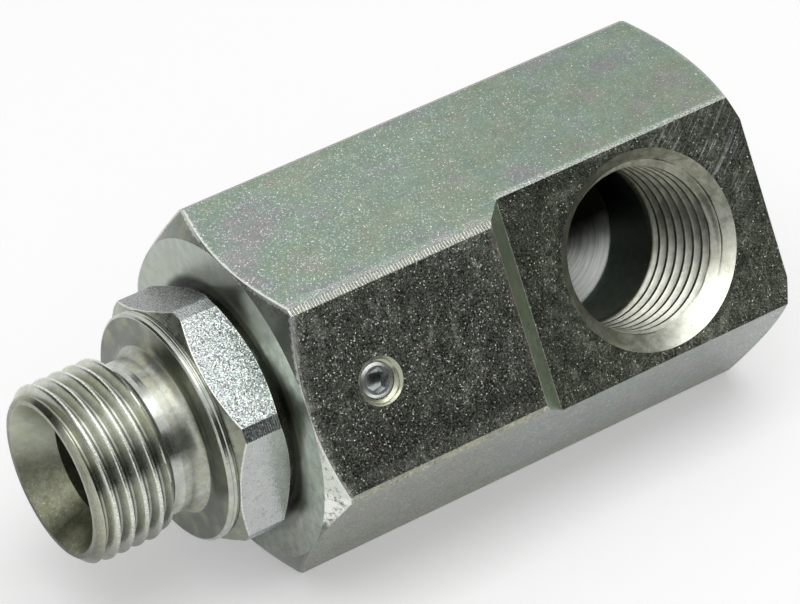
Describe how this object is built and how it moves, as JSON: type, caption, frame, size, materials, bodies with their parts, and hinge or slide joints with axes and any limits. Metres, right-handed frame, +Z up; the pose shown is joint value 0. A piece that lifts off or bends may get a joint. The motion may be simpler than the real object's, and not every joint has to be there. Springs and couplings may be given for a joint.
{
  "type": "hydraulic rotary union",
  "caption": "Right-angle hydraulic swivel: a hexagonal steel housing with a female side port carries a hollow spindle with a male threaded stud, which turns freely on a row of balls.",
  "frame": {"origin": "under the middle of the whole union, on the bottom flat of the housing that it rests on", "axes": "+X along the turning axis from the stud's end to the closed end of the housing, +Z up out of the top flat"},
  "size_m": [0.086, 0.0434, 0.038],
  "materials": {
    "zinc_housing": "zinc-plated drawn hexagonal bar, fine grain",
    "zinc_spindle": "zinc-plated turned steel with a pale yellow cast",
    "screw_steel": "bright plated set screw",
    "ball_steel": "polished bearing balls",
    "wiper_rubber": "matt black rubber",
    "seal_rubber": "satin black rubber",
    "guide_plastic": "brown filled plastic strip",
    "backup_plastic": "white hard plastic ring"
  },
  "bodies": {
    "housing": {"housing": "zinc_housing", "filling_screw": "screw_steel", "dust_wiper": "wiper_rubber"},
    "spindle": {"spindle": "zinc_spindle", "front_guide_ring": "guide_plastic", "rear_guide_ring": "guide_plastic", "seal_ring": "seal_rubber", "front_backup_ring": "backup_plastic", "rear_backup_ring": "backup_plastic"},
    "ball_row": {"ball_01": "ball_steel", "ball_02": "ball_steel", "ball_03": "ball_steel", "ball_04": "ball_steel", "ball_05": "ball_steel", "ball_06": "ball_steel", "ball_07": "ball_steel", "ball_08": "ball_steel", "ball_09": "ball_steel", "ball_10": "ball_steel", "ball_11": "ball_steel", "ball_12": "ball_steel", "ball_13": "ball_steel", "ball_14": "ball_steel", "ball_15": "ball_steel", "ball_16": "ball_steel", "ball_17": "ball_steel", "ball_18": "ball_steel"}
  },
  "joints": [
    {"name": "spindle_spin", "type": "hinge", "parent": "housing", "child": "spindle", "pos_m": [0, 0, 0.019], "axis": [1, 0, 0], "continuous": true},
    {"name": "ball_orbit", "type": "hinge", "parent": "housing", "child": "ball_row", "pos_m": [0, 0, 0.019], "axis": [1, 0, 0], "continuous": true}
  ],
  "couplings": [
    {"joint": "ball_orbit", "follows": "spindle_spin", "ratio": 0.41667}
  ]
}
